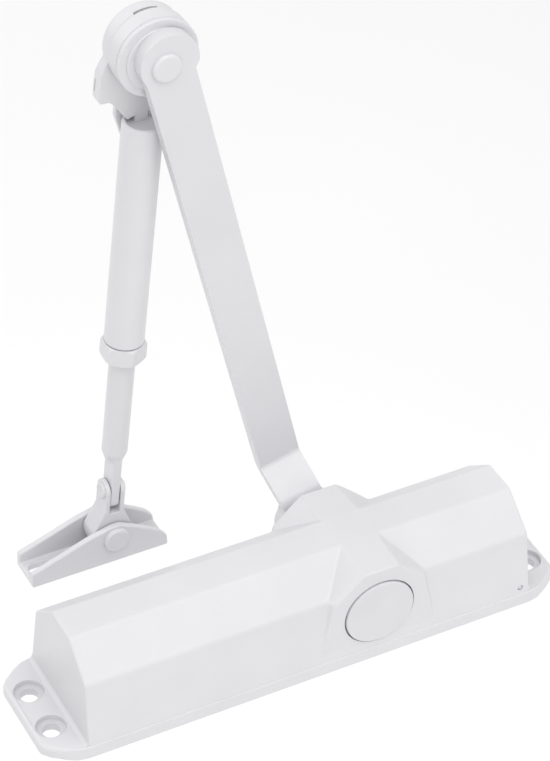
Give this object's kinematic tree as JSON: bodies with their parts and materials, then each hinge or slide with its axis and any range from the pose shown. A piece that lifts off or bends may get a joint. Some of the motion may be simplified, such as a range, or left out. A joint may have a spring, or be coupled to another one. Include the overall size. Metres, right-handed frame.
{
  "type": "door closer",
  "caption": "Surface-mounted door closer: faceted cast body with flanged ends, rack and pinion inside, hold-open scissor arm with an adjustable forearm and a U-shaped frame shoe.",
  "frame": {"origin": "centre of the four fixing holes, on the mounting face", "axes": "+X along the body towards the valve end, +Y along the pinion towards the arm, +Z away from the door"},
  "size_m": [0.2076, 0.0928, 0.2416],
  "materials": {
    "body_paint": "satin light silver-white coating",
    "arm_paint": "satin light silver-white coating",
    "cap_plastic": "fine satin, as the body",
    "zinc_steel": "bright zinc plate",
    "hard_steel": "ground",
    "spring_steel": "shot peened",
    "piston_iron": "turned, oiled",
    "bearing_bronze": "turned",
    "valve_brass": "turned",
    "seal_rubber": "matt black"
  },
  "bodies": {
    "case": {"housing": "body_paint", "passage_plug": "zinc_steel", "end_plug": "body_paint", "plug_seal": "seal_rubber", "pinion_bush_near": "bearing_bronze", "pinion_seal_near": "seal_rubber", "pinion_bush_far": "bearing_bronze", "pinion_seal_far": "seal_rubber", "gland_nut": "zinc_steel", "pinion_cap": "cap_plastic", "valve_seals": "seal_rubber", "closing_spring": "spring_steel"},
    "spindle_arm": {"pinion": "hard_steel", "main_arm": "arm_paint", "arm_washer": "zinc_steel", "arm_screw": "zinc_steel", "elbow_rivet": "arm_paint", "hold_open_disc": "arm_paint"},
    "piston": {"rack_piston": "piston_iron", "check_ball": "hard_steel", "check_seat": "valve_brass", "spring_seat": "hard_steel"},
    "closing_valve": {"closing_valve": "valve_brass"},
    "latching_valve": {"latching_valve": "valve_brass"},
    "forearm": {"elbow_knuckle": "arm_paint", "detent_plate": "hard_steel", "detent_ball": "hard_steel", "wave_spring": "spring_steel", "forearm_tube": "arm_paint"},
    "lock_nut": {"lock_nut": "arm_paint"},
    "rod": {"forearm_rod": "arm_paint"},
    "fork": {"shoe_fork": "arm_paint", "fork_pin": "arm_paint"},
    "shoe": {"shoe": "arm_paint", "shoe_rivet": "arm_paint"}
  },
  "joints": [
    {"name": "arm_swing", "type": "hinge", "parent": "case", "child": "spindle_arm", "pos_m": [0.0255, 0, 0.0216], "axis": [0, 1, 0], "range_deg": [0, 170], "stiffness_Nm_per_rad": 3, "springref_deg": -171.89},
    {"name": "piston_slide", "type": "slide", "parent": "case", "child": "piston", "axis": [-1, 0, 0], "range_m": [0, 0.0224], "deforming": ["closing_spring"]},
    {"name": "closing_valve_turn", "type": "hinge", "parent": "case", "child": "closing_valve", "pos_m": [0.08, -0.0193, 0.0095], "axis": [1, 0, 0], "range_deg": [-180, 180]},
    {"name": "latching_valve_turn", "type": "hinge", "parent": "case", "child": "latching_valve", "pos_m": [0.08, 0.0193, 0.0095], "axis": [1, 0, 0], "range_deg": [-180, 180]},
    {"name": "elbow_hinge", "type": "hinge", "parent": "spindle_arm", "child": "forearm", "pos_m": [-0.02524, 0.0575, 0.22703], "axis": [0, 1, 0], "range_deg": [-9, 150]},
    {"name": "lock_nut_spin", "type": "hinge", "parent": "forearm", "child": "lock_nut", "pos_m": [-0.0359, 0.0575, 0.10479], "axis": [-0.0869, 0, -0.9962], "continuous": true},
    {"name": "rod_slide", "type": "slide", "parent": "forearm", "child": "rod", "axis": [-0.0869, 0, -0.9962], "range_m": [-0.015, 0.03]},
    {"name": "fork_hinge", "type": "hinge", "parent": "rod", "child": "fork", "pos_m": [-0.04144, 0.0575, 0.04124], "axis": [0.9962, 0, -0.0869], "range_deg": [-20, 20]},
    {"name": "shoe_pivot", "type": "hinge", "parent": "fork", "child": "shoe", "pos_m": [-0.04305, 0.0575, 0.02283], "axis": [0, 1, 0], "range_deg": [-80, 75]}
  ],
  "couplings": [
    {"joint": "piston_slide", "follows": "arm_swing", "m_per_rad": 0.0075}
  ]
}
